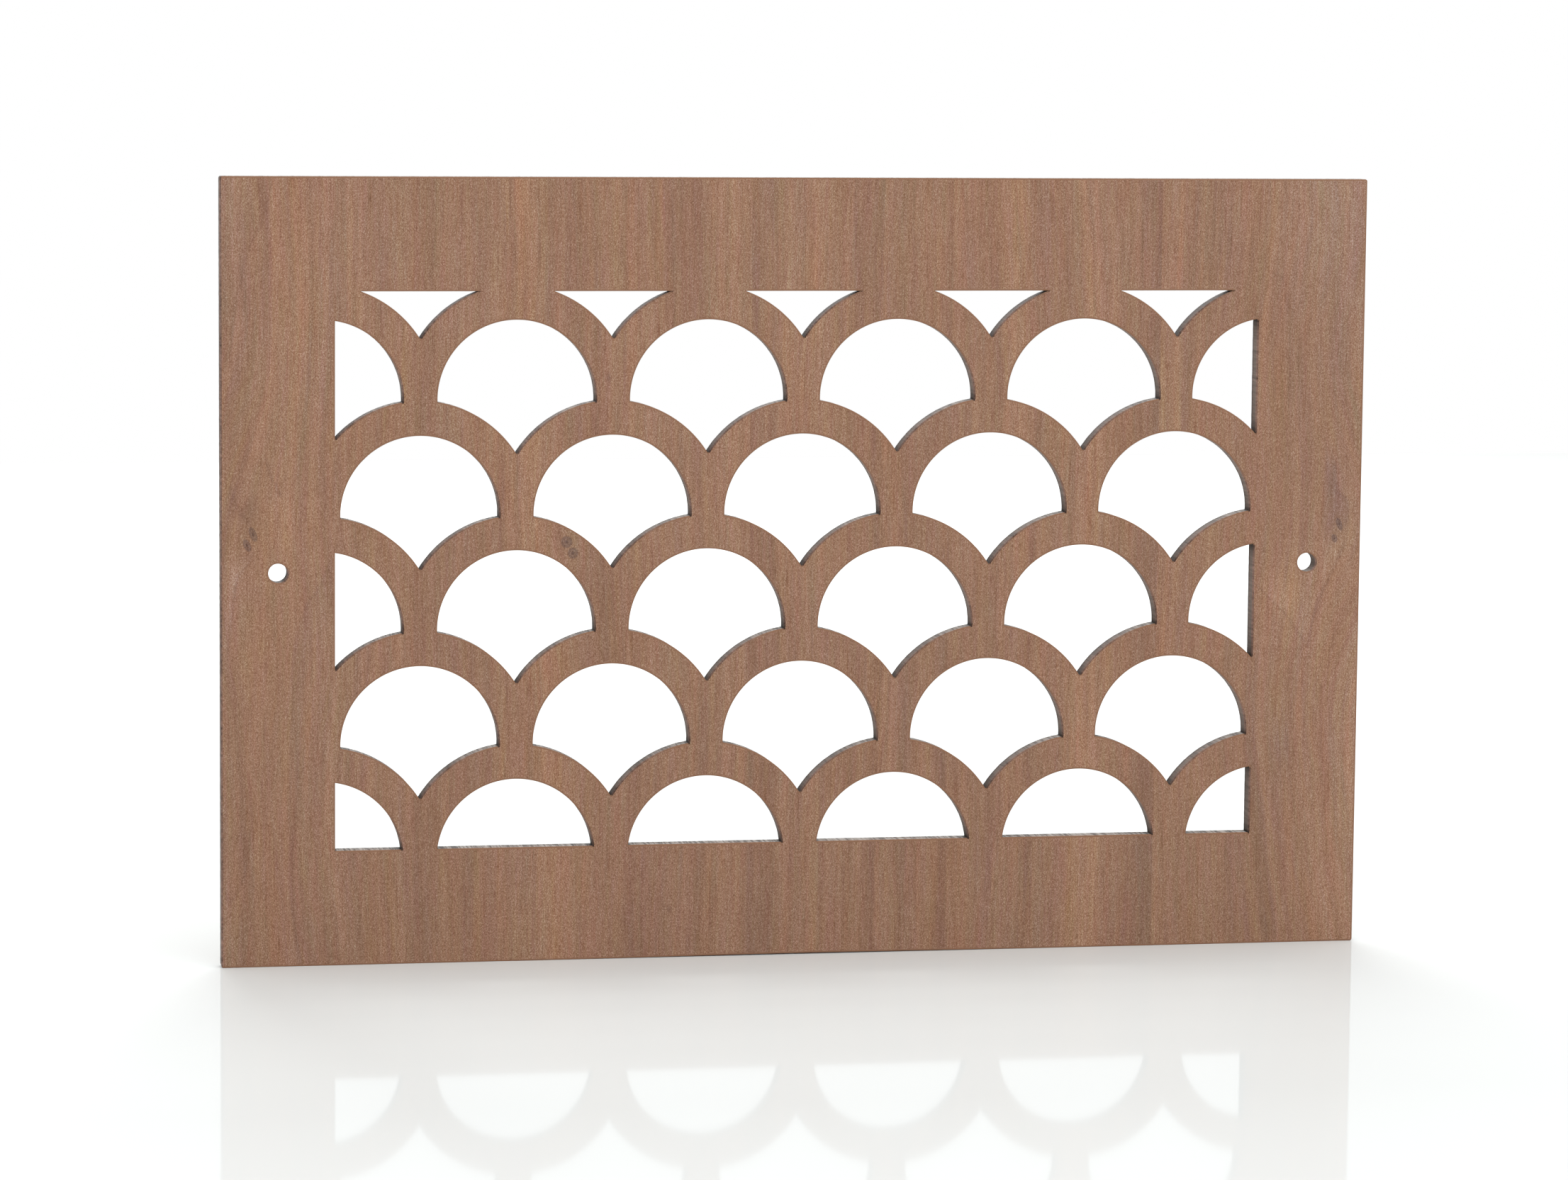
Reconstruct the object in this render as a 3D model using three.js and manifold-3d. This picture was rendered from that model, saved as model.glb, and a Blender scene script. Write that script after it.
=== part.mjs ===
// Wall vent register: a flat wooden cover panel with a field of fish-scale openings
// cut through it, and one plain screw hole in the middle of each side border.
//
// Sizes are in millimetres, +Z is up. The origin is the centre of the back face, which
// lies flat on the wall. +X is to the right of a person who faces the panel, and the
// show face looks along -Y.

import * as THREE from 'three';
import { mergeVertices } from 'three/addons/utils/BufferGeometryUtils.js';
import Module from 'manifold-3d';

// Field of openings, a little smaller than the 10 by 6 inch duct behind it
const fieldWidth = 250.8;
const fieldHeight = 148.6;

// Solid border round the field, which overlaps the wall round the duct
const sideBorder = 30.175;
const topBorder = 30.15;
const bottomBorder = 30.8;
const panelThickness = 4.8;
const cornerRadius = 0.6;

// Fish scales, level about the middle of the panel: each opening is a disc, and a band
// of even width runs round it
const openingRadius = 21.1;
const bandWidth = 9.25;
const rowPitch = 30.65;

// An opening that the edge of the field cuts narrower than this is left uncut
const narrowestOpening = 4;

// Screw holes, a free fit for a 4.2 mm wood screw
const screwDiameter = 4.2;
const screwClearance = 0.9;

// Facets of the round cuts, and of a quarter turn at the panel's corners
const facetLength = 1.9;
const fewestFacets = 32;
const cornerFacets = 3;

// How far the cutting shapes run past each face of the panel
const cutterOverrun = 2;

// Veneer on the panel
const veneerColour = '#997864';
const veneerRoughness = 0.68;

// Sizes that follow from the ones above
const panelWidth = fieldWidth + 2 * sideBorder;
const panelHeight = fieldHeight + topBorder + bottomBorder;
const fieldMiddleZ = (bottomBorder - topBorder) / 2;
const scaleRadius = openingRadius + bandWidth;
const columnPitch = 2 * openingRadius + bandWidth;
const screwHoleRadius = (screwDiameter + screwClearance) / 2;
const screwHoleX = (fieldWidth + sideBorder) / 2;
const middleY = -panelThickness / 2;
const cutterDepth = panelThickness + 2 * cutterOverrun;

const wasm = await Module();
wasm.setup();

// Turns a closed geometry into a solid that can be cut and joined
function toSolid(geometry) {
  geometry.deleteAttribute('normal');
  geometry.deleteAttribute('uv');
  const merged = mergeVertices(geometry);
  return new wasm.Manifold(new wasm.Mesh({
    numProp: 3,
    vertProperties: new Float32Array(merged.attributes.position.array),
    triVerts: new Uint32Array(merged.index.array),
  }));
}

// Turns a cut solid back into a geometry
function toGeometry(solid) {
  const { vertProperties, triVerts } = solid.getMesh();
  const geometry = new THREE.BufferGeometry();
  geometry.setAttribute('position', new THREE.BufferAttribute(vertProperties, 3));
  geometry.setIndex(new THREE.BufferAttribute(triVerts, 1));
  geometry.computeVertexNormals();
  return geometry;
}

// The panel before it is cut: an upright board with its four corners just rounded
function blank() {
  const cornerX = panelWidth / 2 - cornerRadius;
  const cornerZ = panelHeight / 2 - cornerRadius;
  const quarter = Math.PI / 2;
  const outline = new THREE.Shape();
  outline.absarc(cornerX, cornerZ, cornerRadius, 0, quarter);
  outline.absarc(-cornerX, cornerZ, cornerRadius, quarter, 2 * quarter);
  outline.absarc(-cornerX, -cornerZ, cornerRadius, 2 * quarter, 3 * quarter);
  outline.absarc(cornerX, -cornerZ, cornerRadius, 3 * quarter, 4 * quarter);
  const geometry = new THREE.ExtrudeGeometry(outline, {
    depth: panelThickness,
    curveSegments: Math.ceil(cornerFacets / 2),
    bevelEnabled: false,
  });
  geometry.rotateX(quarter);
  return toSolid(geometry);
}

// The window that clips the openings, which runs past both faces of the panel
function fieldWindow() {
  const geometry = new THREE.BoxGeometry(fieldWidth, cutterDepth, fieldHeight);
  geometry.translate(0, middleY, fieldMiddleZ);
  return toSolid(geometry);
}

// The number of facets of a round cut, a multiple of four so that it is even all round
function facetsOf(radius) {
  const facets = 4 * Math.ceil(2 * Math.PI * radius / facetLength / 4);
  return Math.max(fewestFacets, facets);
}

// A round cutter square to the panel, with its axis at x, z
function disc(radius, x, z) {
  const geometry = new THREE.CylinderGeometry(radius, radius, cutterDepth, facetsOf(radius));
  geometry.translate(x, middleY, z);
  return toSolid(geometry);
}

// The opening of one scale: its disc, less the two scales that lie over it from below,
// clipped by the edge of the field
function scaleOpening(x, z, field) {
  const leftScale = disc(scaleRadius, x - columnPitch / 2, z - rowPitch);
  const rightScale = disc(scaleRadius, x + columnPitch / 2, z - rowPitch);
  return disc(openingRadius, x, z).subtract(leftScale).subtract(rightScale).intersect(field);
}

// Whether an opening is large enough to be cut
function isWorthCutting(opening) {
  if (opening.isEmpty()) {
    return false;
  }
  const { min, max } = opening.boundingBox();
  return Math.min(max[0] - min[0], max[2] - min[2]) >= narrowestOpening;
}

// All openings of the field: rows one pitch apart, level about the middle of the panel,
// with every second row moved sideways by half a column
function scaleOpenings() {
  const field = fieldWindow();
  const rowReach = Math.ceil(panelHeight / 2 / rowPitch);
  const columnReach = Math.ceil(panelWidth / 2 / columnPitch);
  const openings = [];
  for (let row = -rowReach; row < rowReach; row += 1) {
    const z = (row + 0.5) * rowPitch;
    const shift = row % 2 === 0 ? 0 : columnPitch / 2;
    for (let column = -columnReach; column <= columnReach; column += 1) {
      openings.push(scaleOpening(column * columnPitch + shift, z, field));
    }
  }
  return openings.filter(isWorthCutting);
}

// The whole panel: the blank with the scales cut through it, and a screw hole in the
// middle of each side border, level with the middle of the field
function ventPanel() {
  let panel = blank();
  for (const opening of scaleOpenings()) {
    panel = panel.subtract(opening);
  }
  for (const side of [-1, 1]) {
    panel = panel.subtract(disc(screwHoleRadius, side * screwHoleX, fieldMiddleZ));
  }
  const veneer = new THREE.MeshStandardMaterial({
    color: veneerColour,
    roughness: veneerRoughness,
    metalness: 0,
    flatShading: true,
  });
  const mesh = new THREE.Mesh(toGeometry(panel), veneer);
  mesh.name = 'vent_panel';
  return mesh;
}

const register = new THREE.Group();
register.add(ventPanel());

export default register;
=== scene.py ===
"""Looks of a wall vent register: a veneered cover panel with fish-scale openings cut through it.

The panel replaces its CAD node. It is modelled with every cut wall, eased arris and cutting mark, and is
dressed in a procedural walnut veneer, a scorched cut edge and a plain backing veneer.
"""

import logging
import math
from dataclasses import dataclass
from enum import Enum, IntEnum

import bmesh
import bpy
from bmesh.types import BMEdge, BMesh, BMFace, BMVert
from bpy.types import Material, Node, NodeSocket, Object
from mathutils import Euler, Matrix, Vector, kdtree, noise


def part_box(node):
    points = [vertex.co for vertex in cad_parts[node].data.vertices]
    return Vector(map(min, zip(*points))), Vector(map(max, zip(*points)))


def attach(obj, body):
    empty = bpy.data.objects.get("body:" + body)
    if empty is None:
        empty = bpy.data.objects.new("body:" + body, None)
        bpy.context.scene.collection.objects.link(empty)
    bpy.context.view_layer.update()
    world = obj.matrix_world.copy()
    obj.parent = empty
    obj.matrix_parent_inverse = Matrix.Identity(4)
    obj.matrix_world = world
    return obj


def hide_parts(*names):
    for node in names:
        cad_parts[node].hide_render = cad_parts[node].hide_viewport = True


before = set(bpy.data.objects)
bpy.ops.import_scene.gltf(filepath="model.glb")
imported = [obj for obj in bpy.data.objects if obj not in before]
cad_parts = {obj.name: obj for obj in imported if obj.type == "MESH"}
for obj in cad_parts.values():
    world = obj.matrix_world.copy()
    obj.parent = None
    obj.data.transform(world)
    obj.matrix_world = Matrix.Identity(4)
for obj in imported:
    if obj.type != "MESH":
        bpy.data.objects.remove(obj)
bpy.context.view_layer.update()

logging.basicConfig(level=logging.INFO, format="%(name)s: %(message)s")
log = logging.getLogger("vent_register")

MM = 0.001

# The show face looks along -Y, and a turn about this axis takes +X towards +Z
FACE_AXIS = Vector((0.0, -1.0, 0.0))

Triple = tuple[float, float, float]


class Surface(IntEnum):
    """Material slots of the panel, in their order on the object."""

    VENEER = 0
    CUT_EDGE = 1
    BACKING = 2


class BandEdge(Enum):
    """How a tonal band of the veneer ends."""

    SOFT = "soft on both sides"
    SHARP_LEFT = "a sharp left edge, fading to the right"
    SHARP_RIGHT = "a sharp right edge, fading to the left"


@dataclass(frozen=True)
class GrainLayer:
    """A layer of noise, stretched along each axis.

    Its size is how long a feature is along x, y and z, in millimetres, and its strength is what it adds
    where it is full. Detail is how many finer layers go with it, and roughness how strong each of them
    is. The seed moves the pattern. The turn, in radians, hides the rows of the grid under the noise.
    """

    size: Triple
    strength: float
    detail: float = 0.0
    roughness: float = 0.5
    seed: float = 0.0
    turn: float = 0.0


class NodeSketch:
    """A short way to write a node tree: each method adds one node and returns its output socket."""

    TURN_AXIS = (0.35, 0.85, 0.4)

    def __init__(self, name: str) -> None:
        """Starts an empty material.

        Args:
            name: the material's name.
        """
        self.material = bpy.data.materials.new(name)
        self.material.use_nodes = True
        self.tree = self.material.node_tree
        self.tree.nodes.clear()

    def add(self, kind: str, **settings: object) -> Node:
        """Adds a node.

        Args:
            kind: the node's Blender type.
            settings: properties to set on it.

        Returns:
            The new node.
        """
        node = self.tree.nodes.new(kind)
        for name, value in settings.items():
            setattr(node, name, value)
        return node

    def feed(self, socket: NodeSocket, value: object) -> None:
        """Links a socket to another one, or sets its value.

        Args:
            socket: the input to fill.
            value: an output socket, a number, or a tuple of numbers.
        """
        if isinstance(value, NodeSocket):
            self.tree.links.new(value, socket)
        else:
            socket.default_value = value

    def math(self, operation: str, *terms: object, clamp: bool = False) -> NodeSocket:
        """Adds a Math node.

        Args:
            operation: its operation, such as MULTIPLY_ADD.
            terms: its inputs in order, sockets or numbers.
            clamp: whether the result stays from 0 to 1.

        Returns:
            The result.
        """
        node = self.add("ShaderNodeMath", operation=operation, use_clamp=clamp)
        for socket, term in zip(node.inputs, terms):
            self.feed(socket, term)
        return node.outputs[0]

    def times(self, value: object, factor: object, clamp: bool = False) -> NodeSocket:
        """Multiplies two values."""
        return self.math("MULTIPLY", value, factor, clamp=clamp)

    def plus(self, added: object, value: object, factor: object, clamp: bool = False) -> NodeSocket:
        """Adds the product of the last two values to the first."""
        return self.math("MULTIPLY_ADD", value, factor, added, clamp=clamp)

    def offset(self, value: object, middle: float, width: float) -> NodeSocket:
        """Gives how far a value is from a middle, in widths."""
        return self.math("DIVIDE", self.math("SUBTRACT", value, middle), width)

    def place(self, x: object, y: object, z: object) -> NodeSocket:
        """Joins three numbers to a vector."""
        node = self.add("ShaderNodeCombineXYZ")
        for socket, value in zip(node.inputs, (x, y, z)):
            self.feed(socket, value)
        return node.outputs[0]

    def millimetres(self) -> tuple[NodeSocket, ...]:
        """Gives the point's place on the object in millimetres.

        Returns:
            The x, y and z sockets.
        """
        place = self.add("ShaderNodeTexCoord").outputs["Object"]
        scaled = self.add("ShaderNodeMapping", vector_type="POINT")
        self.feed(scaled.inputs["Vector"], place)
        self.feed(scaled.inputs["Scale"], (1 / MM, 1 / MM, 1 / MM))
        split = self.add("ShaderNodeSeparateXYZ")
        self.feed(split.inputs[0], scaled.outputs[0])
        return tuple(split.outputs)

    def stretched(self, layer: GrainLayer, *place: object) -> NodeSocket:
        """Adds a layer of noise.

        Args:
            layer: the layer.
            place: x, y and z, in millimetres.

        Returns:
            The noise before its strength, centred on 0 and mostly from -0.5 to 0.5.
        """
        shrunk = self.place(*(self.math("DIVIDE", value, size) for value, size in zip(place, layer.size)))
        if layer.turn:
            turned = self.add("ShaderNodeVectorRotate", rotation_type="AXIS_ANGLE")
            self.feed(turned.inputs["Vector"], shrunk)
            self.feed(turned.inputs["Axis"], self.TURN_AXIS)
            self.feed(turned.inputs["Angle"], layer.turn)
            shrunk = turned.outputs[0]
        texture = self.add("ShaderNodeTexNoise", noise_dimensions="4D")
        self.feed(texture.inputs["Vector"], shrunk)
        self.feed(texture.inputs["W"], layer.seed)
        self.feed(texture.inputs["Scale"], 1.0)
        self.feed(texture.inputs["Detail"], layer.detail)
        self.feed(texture.inputs["Roughness"], layer.roughness)
        return self.math("SUBTRACT", texture.outputs["Fac"], 0.5)

    def bell(self, *offsets: object) -> NodeSocket:
        """Gives a bell curve over one or more offsets.

        Args:
            offsets: distances from the middle, in bell widths.

        Returns:
            1 in the middle, fading to 0 past a width or two.
        """
        total = self.times(offsets[0], offsets[0])
        for offset in offsets[1:]:
            total = self.plus(total, offset, offset)
        return self.math("EXPONENT", self.times(total, -1.0))

    def ramp(self, amount: object, stops: list[tuple[float, tuple[float, ...]]]) -> NodeSocket:
        """Adds a colour ramp.

        Args:
            amount: where on the ramp the point is, from 0 to 1.
            stops: places and linear colours.

        Returns:
            The colour.
        """
        node = self.add("ShaderNodeValToRGB")
        elements = node.color_ramp.elements
        while len(elements) < len(stops):
            elements.new(0.5)
        for element, (place, colour) in zip(elements, stops):
            element.position = place
            element.color = (*colour, 1.0)
        self.feed(node.inputs["Fac"], amount)
        return node.outputs["Color"]

    def shaded(self, colour: object, channel_gains: tuple[object, object, object]) -> NodeSocket:
        """Multiplies a colour by a gain for each channel."""
        node = self.add("ShaderNodeVectorMath", operation="MULTIPLY")
        self.feed(node.inputs[0], colour)
        self.feed(node.inputs[1], self.place(*channel_gains))
        return node.outputs[0]

    def blended(self, share: object, first: object, second: object) -> NodeSocket:
        """Mixes two colours: the first where the share is 0, the second where it is 1."""
        node = self.add("ShaderNodeMix", data_type="RGBA")
        self.feed(node.inputs["Factor"], share)
        self.feed(node.inputs[6], first)
        self.feed(node.inputs[7], (*second, 1.0) if isinstance(second, tuple) else second)
        return node.outputs[2]

    def raised(self, height: object, distance: float, strength: float) -> NodeSocket:
        """Adds a bump.

        Args:
            height: the height socket.
            distance: how tall a height of 1 is, in metres.
            strength: how much of the bump shows.

        Returns:
            The bent normal.
        """
        node = self.add("ShaderNodeBump")
        self.feed(node.inputs["Height"], height)
        self.feed(node.inputs["Distance"], distance)
        self.feed(node.inputs["Strength"], strength)
        return node.outputs["Normal"]

    def finish(self, **inputs: object) -> Material:
        """Adds the shader and the output.

        Args:
            inputs: the shader's inputs, with underscores for the spaces in their names.

        Returns:
            The finished material.
        """
        shader = self.add("ShaderNodeBsdfPrincipled")
        for name, value in inputs.items():
            self.feed(shader.inputs[name.replace("_", " ")], value)
        output = self.add("ShaderNodeOutputMaterial")
        self.tree.links.new(shader.outputs["BSDF"], output.inputs["Surface"])
        return self.material


@dataclass
class Figure:
    """The figure of the veneer as it builds up: its tone and its warmth, in grey steps.

    Its places are in millimetres: x across the grain, z along it, and bent, which starts as x and is made
    to wander and to flow round the knots.
    """

    sketch: NodeSketch
    x: NodeSocket
    z: NodeSocket
    bent: NodeSocket
    tone: object = 0.0
    warmth: object = 0.0

    def straight(self, layer: GrainLayer) -> NodeSocket:
        """Gives a layer of noise that runs straight up the board."""
        return self.sketch.stretched(layer, self.x, 0.0, self.z)

    def flowing(self, layer: GrainLayer) -> NodeSocket:
        """Gives a layer of noise that follows the bent grain."""
        return self.sketch.stretched(layer, self.bent, 0.0, self.z)

    def mark(self, share: object, tone: float, warmth: float = 0.0) -> None:
        """Adds so many steps of tone and warmth, as far as the share says."""
        if tone:
            self.tone = self.sketch.plus(self.tone, share, tone)
        if warmth:
            self.warmth = self.sketch.plus(self.warmth, share, warmth)


@dataclass(frozen=True)
class Band:
    """A tonal band that runs the whole height of the veneer. Sizes are in millimetres."""

    middle: float
    width: float
    tone: float
    warmth: float = 0.0
    lean: float = 0.0
    edge: BandEdge = BandEdge.SOFT
    sharp_width: float = 0.35

    def draw(self, figure: Figure, feathered: object) -> None:
        """Adds the band to the figure.

        Args:
            figure: the figure.
            feathered: the bent place across the grain, roughened by the fine streaks.
        """
        sketch = figure.sketch
        across = feathered if self.edge is BandEdge.SOFT else figure.x
        leaned = sketch.plus(across, figure.z, self.lean)
        offset = sketch.offset(leaned, self.middle, self.width)
        share = sketch.bell(offset)
        if self.edge is not BandEdge.SOFT:
            side = 1.0 if self.edge is BandEdge.SHARP_LEFT else -1.0
            inside = sketch.plus(0.5, offset, side * self.width / self.sharp_width, clamp=True)
            share = sketch.times(share, inside)
        figure.mark(share, self.tone, self.warmth)


@dataclass(frozen=True)
class Patch:
    """A soft oval patch of another tone. Sizes are in millimetres."""

    x: float
    z: float
    wide: float
    tall: float
    tone: float
    warmth: float = 0.0

    def draw(self, figure: Figure) -> None:
        """Adds the patch to the figure."""
        sketch = figure.sketch
        wide = sketch.offset(figure.x, self.x, self.wide)
        tall = sketch.offset(figure.z, self.z, self.tall)
        figure.mark(sketch.bell(wide, tall), self.tone, self.warmth)


@dataclass(frozen=True)
class PinKnot:
    """A pin knot: a blue-grey oval with a dark rim and a darker heart. Sizes are in millimetres."""

    x: float
    z: float
    wide: float
    tall: float
    tilt: float
    oval_tone: float = -9.0
    oval_warmth: float = -7.0
    rim_tone: float = -20.0
    heart_tone: float = -50.0

    def draw(self, figure: Figure) -> None:
        """Adds the knot to the figure."""
        sketch = figure.sketch
        up = sketch.math("SUBTRACT", figure.z, self.z)
        across = sketch.math("SUBTRACT", figure.x, self.x)
        wide = sketch.math("DIVIDE", sketch.plus(across, up, self.tilt), self.wide)
        tall = sketch.math("DIVIDE", up, self.tall)
        squared = sketch.plus(sketch.times(tall, tall), wide, wide)
        oval = sketch.plus(2.1, squared, -1.6, clamp=True)
        rim = sketch.times(sketch.math("SUBTRACT", sketch.math("SQRT", squared), 0.8), 5.0)
        heart = sketch.math("EXPONENT", sketch.times(squared, -9.0))
        figure.mark(oval, self.oval_tone, self.oval_warmth)
        figure.mark(sketch.bell(rim), self.rim_tone)
        figure.mark(heart, self.heart_tone)


@dataclass(frozen=True)
class Swirl:
    """A place that the grain flows round. Sizes are in millimetres."""

    x: float
    z: float
    reach: float
    squeeze: float

    def bend(self, figure: Figure) -> None:
        """Bends the grain of the figure round the swirl."""
        sketch = figure.sketch
        across = sketch.math("SUBTRACT", figure.x, self.x)
        up = sketch.times(sketch.math("SUBTRACT", figure.z, self.z), self.squeeze)
        away = sketch.plus(sketch.plus(1.2 * self.reach**2, up, up), across, across)
        push = sketch.math("DIVIDE", sketch.times(across, -(self.reach**2)), away)
        figure.bent = sketch.math("ADD", figure.bent, push)


@dataclass(frozen=True)
class Vein:
    """A winding line in the figure, with a soft shade along one side of it.

    Its points are x and z in millimetres, from the lowest to the highest. A negative fade puts the shade
    on the left.
    """

    points: tuple[tuple[float, float], ...]
    line: float
    fade: float = 5.0
    tone: float = 0.0
    warmth: float = 0.0
    half_width: float = 0.45
    softness: float = 3.0
    margin: float = 0.1
    crispness: float = 1.6

    def draw(self, figure: Figure, feathered: object) -> None:
        """Adds the vein to the figure.

        Args:
            figure: the figure.
            feathered: the place across the grain, roughened by the fine streaks.
        """
        sketch = figure.sketch
        bottom = self.points[0][1]
        top = self.points[-1][1]
        left = min(place[0] for place in self.points) - self.margin
        right = max(place[0] for place in self.points) + self.margin
        course = sketch.add("ShaderNodeFloatCurve")
        curve = course.mapping.curves[0]
        for _ in self.points[2:]:
            curve.points.new(0.5, 0.5)
        for point, (across, up) in zip(curve.points, self.points):
            point.location = ((up - bottom) / (top - bottom), (across - left) / (right - left))
        course.mapping.update()
        share = sketch.plus(-bottom / (top - bottom), figure.z, 1 / (top - bottom))
        sketch.feed(course.inputs["Value"], share)
        offset = sketch.math("SUBTRACT", feathered, sketch.plus(left, course.outputs[0], right - left))
        above = sketch.plus(0.5 - bottom / self.softness, figure.z, 1 / self.softness, clamp=True)
        below = sketch.plus(0.5 + top / self.softness, figure.z, -1 / self.softness, clamp=True)
        window = sketch.times(above, below)
        line = sketch.bell(sketch.math("DIVIDE", offset, self.half_width))
        figure.mark(sketch.times(line, window), self.line)
        if self.tone:
            crisp = sketch.plus(0.5, offset, math.copysign(self.crispness, self.fade), clamp=True)
            shade = sketch.times(sketch.bell(sketch.math("DIVIDE", offset, self.fade)), window)
            figure.mark(sketch.times(shade, crisp), self.tone, self.warmth)


@dataclass(frozen=True)
class VeneerFinish:
    """Sliced walnut veneer with a clear matt coat.

    Tones are steps of the red channel on a 256-step scale about the veneer's own mean, so that a band
    of -8 is 8 steps darker. Warmth moves red up and blue down. The finest grain is lighter or darker
    by as much in each channel, so it takes warmth away where it is light.
    """

    colour: Triple = (0.2750, 0.1463, 0.0888)
    tone_gains: Triple = (0.0155, 0.0177, 0.0166)
    warmth_gains: Triple = (0.0070, -0.0017, -0.0165)
    cast_gains: Triple = (0.0059, -0.0138, 0.0086)
    grain_warmth: float = -0.44
    roughness: float = 0.62
    roughness_grit: float = 0.25
    specular: float = 0.35
    relief: float = 0.03 * MM
    relief_strength: float = 0.5
    relief_grit: float = 0.6
    fibre: GrainLayer = GrainLayer((3.2, 1.0, 90.0), 28.0, 5.0, 0.95, 3.0)
    hair: GrainLayer = GrainLayer((3.4, 1.0, 260.0), 30.0, 1.0, 1.0, 37.0)
    drift: GrainLayer = GrainLayer((26.0, 1.0, 120.0), 17.0, 2.0, 0.6, 5.0)
    broad_tint: GrainLayer = GrainLayer((17.0, 1.0, 95.0), 9.0, 2.0, 0.6, 8.0)
    tint: GrainLayer = GrainLayer((4.0, 1.0, 60.0), 30.0, 3.0, 0.9, 15.0)
    cast: GrainLayer = GrainLayer((4.0, 1.0, 60.0), 23.0, 3.0, 1.0, 19.0)
    nap: GrainLayer = GrainLayer((0.4, 1.0, 9.0), 22.0, seed=13.0, turn=0.7)
    grit: GrainLayer = GrainLayer((0.22, 1.0, 0.36), 105.0, seed=11.0, turn=1.1)
    short_pores: GrainLayer = GrainLayer((0.28, 1.0, 2.4), 7.0, seed=31.0, turn=0.8)
    long_pores: GrainLayer = GrainLayer((0.5, 1.0, 14.0), 8.0, seed=33.0, turn=0.6)
    short_pores_from: float = 0.13
    long_pores_from: float = 0.17
    pore_tone: float = -12.0
    wander: GrainLayer = GrainLayer((60.0, 1.0, 75.0), 9.0, seed=21.0)
    shiver: GrainLayer = GrainLayer((9.0, 1.0, 38.0), 2.2, 1.0, seed=27.0)
    border_wander: float = 12.0
    border_from: float = -2.3
    border_ramp: float = 0.022
    band_feather: float = 22.0
    vein_feather: float = 2.5
    bands: tuple[Band, ...] = (
        Band(-104.6, 4.5, -5.5, 0.5, edge=BandEdge.SHARP_LEFT),
        Band(-71.0, 4.5, 7.0, 2.5, lean=0.05),
        Band(-56.0, 6.0, -4.0, lean=0.085),
        Band(-20.0, 3.6, 5.0, -0.4),
        Band(-14.2, 7.0, -9.0, -0.5, edge=BandEdge.SHARP_LEFT),
        Band(4.0, 4.5, 4.2),
        Band(13.4, 1.3, -5.5, 0.5),
        Band(21.3, 2.2, -8.5, 0.5),
        Band(24.0, 1.0, 5.0, 1.5),
        Band(31.0, 2.2, -6.0, 0.5),
        Band(40.6, 3.4, -7.0, edge=BandEdge.SHARP_RIGHT),
        Band(53.5, 1.4, -4.0, lean=-0.01),
        Band(59.5, 2.4, 5.5, 1.0, lean=-0.022),
        Band(63.2, 0.9, -6.0, lean=-0.022),
        Band(79.0, 4.8, 6.5, 0.5),
        Band(98.4, 6.8, -8.5, -2.0, edge=BandEdge.SHARP_RIGHT),
        Band(101.6, 2.4, 4.5),
        # Painted light: a lighter, bluer haze along the right edge
        Band(157.5, 4.5, 8.0, -4.0),
    )
    patches: tuple[Patch, ...] = (
        Patch(-152.0, 96.0, 5.0, 20.0, 4.5, -3.5),
        Patch(-136.0, 90.0, 6.0, 34.0, 3.5, 0.5),
        Patch(-121.0, 100.0, 1.2, 14.0, 6.0, 2.5),
        Patch(-139.0, 12.0, 5.0, 11.0, 6.0, 0.5),
        Patch(-141.5, 21.0, 2.4, 2.2, 3.0, -3.0),
        Patch(-148.2, 16.8, 3.6, 5.0, -10.0, 0.5),
        Patch(-151.3, -1.0, 2.4, 5.0, 6.0, -4.0),
        Patch(-150.5, 30.0, 3.5, 16.0, -4.5, 0.5),
        Patch(-144.0, -35.0, 8.0, 34.0, 2.0, 1.5),
        Patch(-131.0, -40.0, 6.0, 36.0, 3.0, 1.5),
        Patch(-154.0, -80.0, 6.0, 40.0, -1.0, -1.0),
        Patch(-32.0, 92.0, 5.0, 24.0, -6.0, 0.5),
        Patch(-43.0, 78.0, 5.0, 9.0, -3.0, 1.0),
        # Painted light: the lighter, bluer haze at the top right
        Patch(150.0, 106.0, 20.0, 32.0, 10.0, -7.0),
        Patch(147.0, 21.0, 3.2, 10.0, -4.0, -5.5),
        Patch(147.3, 10.0, 1.6, 5.0, -6.0, -0.5),
        Patch(149.3, 14.5, 2.4, 5.0, -6.0, -3.0),
        Patch(152.8, -8.0, 2.6, 13.0, 5.0, -2.0),
        Patch(134.8, -8.0, 5.0, 6.5, 8.0, 0.5),
        Patch(117.0, 92.0, 2.5, 20.0, -3.0, -3.0),
        Patch(148.0, 62.0, 3.0, 22.0, -2.5, -4.0),
        Patch(134.0, -51.0, 3.0, 9.0, -3.0, -5.0),
        Patch(129.0, -78.0, 9.0, 40.0, -3.5),
        Patch(151.0, -92.0, 7.0, 26.0, 5.0),
        Patch(-50.0, -14.0, 10.0, 18.0, -2.5, 1.5),
        Patch(-66.3, 8.5, 0.5, 3.0, -7.0, -1.0),
        Patch(-52.6, 51.6, 0.8, 1.1, -17.0),
        Patch(-35.5, -91.7, 0.6, 0.9, -17.0),
        Patch(145.3, -34.0, 0.4, 1.2, -12.0),
    )
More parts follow.
